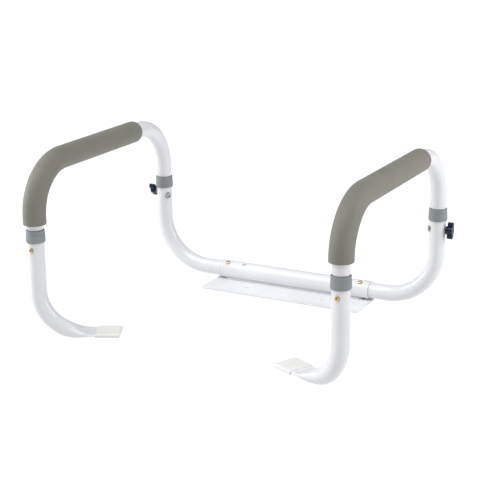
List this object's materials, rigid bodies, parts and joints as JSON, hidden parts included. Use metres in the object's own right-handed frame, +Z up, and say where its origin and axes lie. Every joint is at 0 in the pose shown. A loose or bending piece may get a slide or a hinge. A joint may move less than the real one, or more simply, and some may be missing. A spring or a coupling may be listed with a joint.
{
  "type": "toilet safety frame",
  "caption": "Tubular frame that bolts behind a toilet bowl and gives padded armrests on each side, with push-button height and width settings and clamping knobs.",
  "frame": {"origin": "on the toilet bowl's rim, under the middle of the frame's bounding box: the underside of the mounting plate is at Z = 0", "axes": "+X towards the armrest on the right of someone who faces +Y, +Y from the front legs to the mounting plate at the rear, +Z up"},
  "size_m": [0.5484, 0.4024, 0.2816],
  "materials": {
    "white_powder_coat": "glossy white powder coat",
    "grey_foam": "matte closed-cell foam with fine pores",
    "grey_plastic": "satin moulded plastic",
    "pale_vinyl": "soft slightly translucent vinyl",
    "brass": "turned, slightly dulled",
    "steel": "zinc-plated steel",
    "navy_plastic": "moulded, slightly glossy",
    "nylon": "natural nylon"
  },
  "bodies": {
    "base": {"cross_tube": "white_powder_coat", "mounting_plate": "white_powder_coat"},
    "left_post": {"left_rear_post": "white_powder_coat", "left_rear_collar": "grey_plastic", "left_knob_nut": "steel", "left_width_clip": "steel"},
    "left_armrest": {"left_armrest_tube": "white_powder_coat", "left_foam_grip": "grey_foam", "left_leg_clip": "steel", "left_post_clip": "steel"},
    "left_leg": {"left_front_leg": "white_powder_coat", "left_front_collar": "grey_plastic", "left_foot_pad": "pale_vinyl"},
    "left_knob_slider": {"left_knob_tip": "nylon"},
    "left_knob_turner": {"left_knob": "navy_plastic", "left_knob_stud": "steel"},
    "left_width_snap": {"left_width_button": "brass"},
    "left_post_snap": {"left_post_button": "steel"},
    "left_leg_snap": {"left_leg_button": "brass"},
    "right_post": {"right_rear_post": "white_powder_coat", "right_rear_collar": "grey_plastic", "right_knob_nut": "steel", "right_width_clip": "steel"},
    "right_armrest": {"right_armrest_tube": "white_powder_coat", "right_foam_grip": "grey_foam", "right_leg_clip": "steel", "right_post_clip": "steel"},
    "right_leg": {"right_front_leg": "white_powder_coat", "right_front_collar": "grey_plastic", "right_foot_pad": "pale_vinyl"},
    "right_knob_slider": {"right_knob_tip": "nylon"},
    "right_knob_turner": {"right_knob": "navy_plastic", "right_knob_stud": "steel"},
    "right_width_snap": {"right_width_button": "brass"},
    "right_post_snap": {"right_post_button": "steel"},
    "right_leg_snap": {"right_leg_button": "brass"}
  },
  "joints": [
    {"name": "left_width_slide", "type": "slide", "parent": "base", "child": "left_post", "axis": [1, 0, 0], "range_m": [0, 0.03175]},
    {"name": "left_arm_height", "type": "slide", "parent": "left_post", "child": "left_armrest", "axis": [0, 0, 1], "range_m": [0, 0.0254]},
    {"name": "left_leg_extension", "type": "slide", "parent": "left_armrest", "child": "left_leg", "axis": [0, 0, -1], "range_m": [0, 0.0254]},
    {"name": "left_knob_tip_slide", "type": "slide", "parent": "left_post", "child": "left_knob_slider", "axis": [-1, 0, 0], "range_m": [0, 0.002]},
    {"name": "left_knob_turn", "type": "hinge", "parent": "left_knob_slider", "child": "left_knob_turner", "pos_m": [-0.2488, 0.18645, 0.1425], "axis": [-1, 0, 0], "range_deg": [0, 724]},
    {"name": "left_width_press", "type": "slide", "parent": "base", "child": "left_width_snap", "axis": [0, 0.4695, -0.8829], "range_m": [0, 0.0024], "stiffness_N_per_m": 900, "springref_m": -0.003},
    {"name": "left_post_press", "type": "slide", "parent": "left_post", "child": "left_post_snap", "axis": [-0.866, 0.5, 0], "range_m": [0, 0.0024], "stiffness_N_per_m": 900, "springref_m": -0.003},
    {"name": "left_leg_press", "type": "slide", "parent": "left_leg", "child": "left_leg_snap", "axis": [0, 1, 0], "range_m": [0, 0.0024], "stiffness_N_per_m": 900, "springref_m": -0.003},
    {"name": "right_width_slide", "type": "slide", "parent": "base", "child": "right_post", "axis": [-1, 0, 0], "range_m": [0, 0.03175]},
    {"name": "right_arm_height", "type": "slide", "parent": "right_post", "child": "right_armrest", "axis": [0, 0, 1], "range_m": [0, 0.0254]},
    {"name": "right_leg_extension", "type": "slide", "parent": "right_armrest", "child": "right_leg", "axis": [0, 0, -1], "range_m": [0, 0.0254]},
    {"name": "right_knob_tip_slide", "type": "slide", "parent": "right_post", "child": "right_knob_slider", "axis": [1, 0, 0], "range_m": [0, 0.002]},
    {"name": "right_knob_turn", "type": "hinge", "parent": "right_knob_slider", "child": "right_knob_turner", "pos_m": [0.2488, 0.18645, 0.135], "axis": [1, 0, 0], "range_deg": [0, 724]},
    {"name": "right_width_press", "type": "slide", "parent": "base", "child": "right_width_snap", "axis": [0, 0.4695, -0.8829], "range_m": [0, 0.0024], "stiffness_N_per_m": 900, "springref_m": -0.003},
    {"name": "right_post_press", "type": "slide", "parent": "right_post", "child": "right_post_snap", "axis": [0.866, 0.5, 0], "range_m": [0, 0.0024], "stiffness_N_per_m": 900, "springref_m": -0.003},
    {"name": "right_leg_press", "type": "slide", "parent": "right_leg", "child": "right_leg_snap", "axis": [0, 1, 0], "range_m": [0, 0.0024], "stiffness_N_per_m": 900, "springref_m": -0.003}
  ],
  "couplings": [
    {"joint": "left_leg_extension", "follows": "left_arm_height", "ratio": 1},
    {"joint": "left_knob_turn", "follows": "left_knob_tip_slide", "rad_per_m": 6283.2},
    {"joint": "right_leg_extension", "follows": "right_arm_height", "ratio": 1},
    {"joint": "right_knob_turn", "follows": "right_knob_tip_slide", "rad_per_m": 6283.2}
  ]
}
